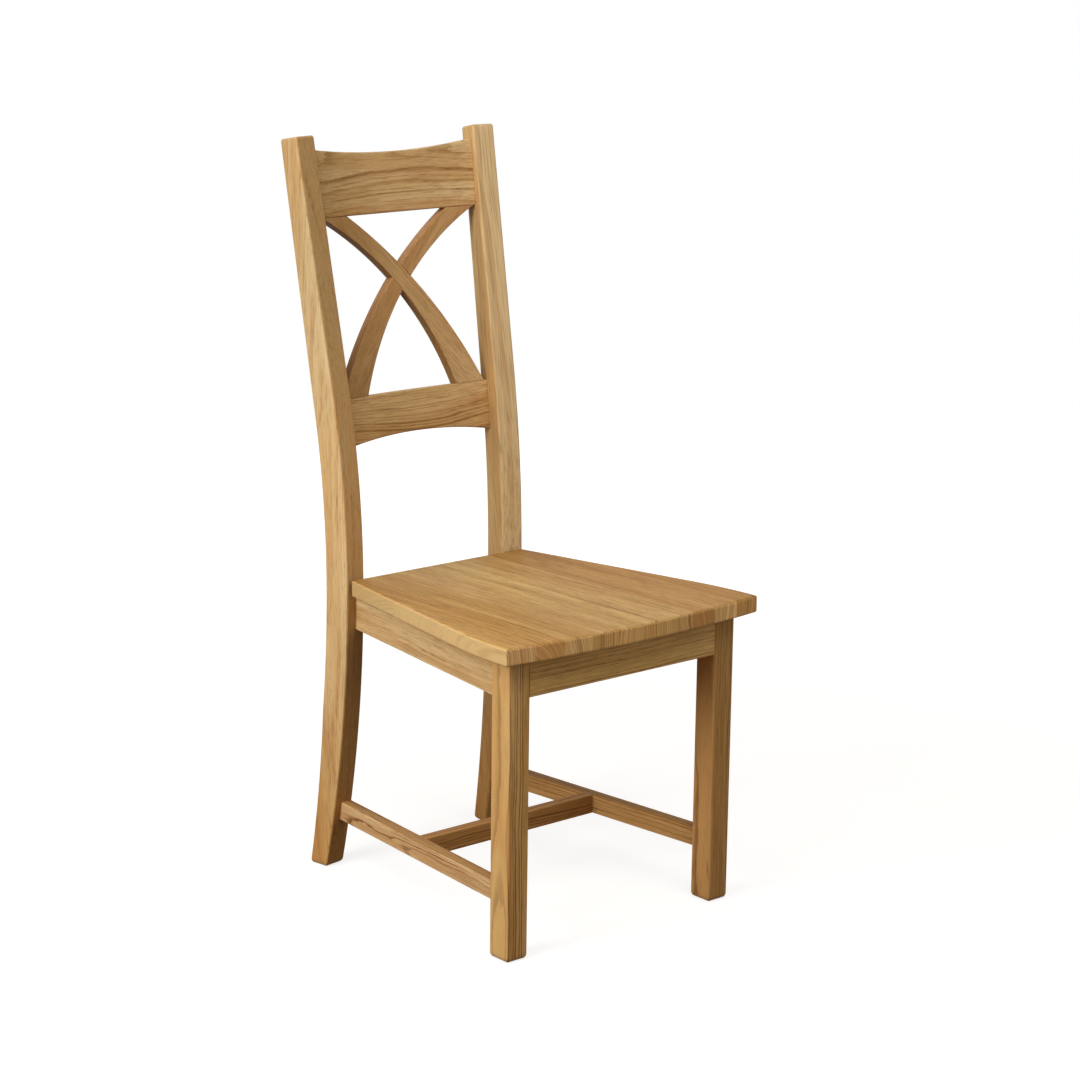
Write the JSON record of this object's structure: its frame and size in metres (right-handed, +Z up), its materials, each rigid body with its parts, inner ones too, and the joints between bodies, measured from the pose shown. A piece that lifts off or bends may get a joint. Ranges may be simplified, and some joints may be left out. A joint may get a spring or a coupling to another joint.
{
  "type": "dining chair",
  "caption": "Wooden dining chair with a tapering solid seat, tall raked back posts, two back rails, crossed curved braces and an H-shaped stretcher.",
  "frame": {"origin": "on the floor, under the middle of the chair's outline", "axes": "+Z up, +Y towards the back, +X to the right as seen from the front"},
  "size_m": [0.458, 0.5857, 1.07],
  "materials": {
    "oak_frame": "satin oiled oak",
    "oak_back": "satin oiled oak",
    "oak_seat": "satin oiled oak",
    "beech": "plain sanded beech",
    "zinc_plated_steel": "zinc plated"
  },
  "bodies": {
    "root": {"rear_post_left": "oak_frame", "rear_post_right": "oak_frame", "front_leg_left": "oak_frame", "front_leg_right": "oak_frame", "front_rail": "oak_frame", "rear_rail": "oak_frame", "side_rail_left": "oak_frame", "side_rail_right": "oak_frame", "side_stretcher_left": "oak_frame", "side_stretcher_right": "oak_frame", "cross_stretcher": "oak_frame", "crest_rail": "oak_back", "lower_back_rail": "oak_back", "cross_brace_front": "oak_back", "cross_brace_back": "oak_back", "brace_dowels": "beech", "seat_stave_1": "oak_seat", "seat_stave_2": "oak_seat", "seat_stave_3": "oak_seat", "seat_stave_4": "oak_seat", "seat_stave_5": "oak_seat", "seat_stave_6": "oak_seat", "seat_stave_7": "oak_seat", "seat_stave_8": "oak_seat", "seat_stave_9": "oak_seat", "seat_stave_10": "oak_seat", "corner_block_front_left": "beech", "corner_block_front_right": "beech", "corner_block_rear_left": "beech", "corner_block_rear_right": "beech", "block_screws": "zinc_plated_steel", "seat_screws": "zinc_plated_steel"}
  },
  "joints": []
}
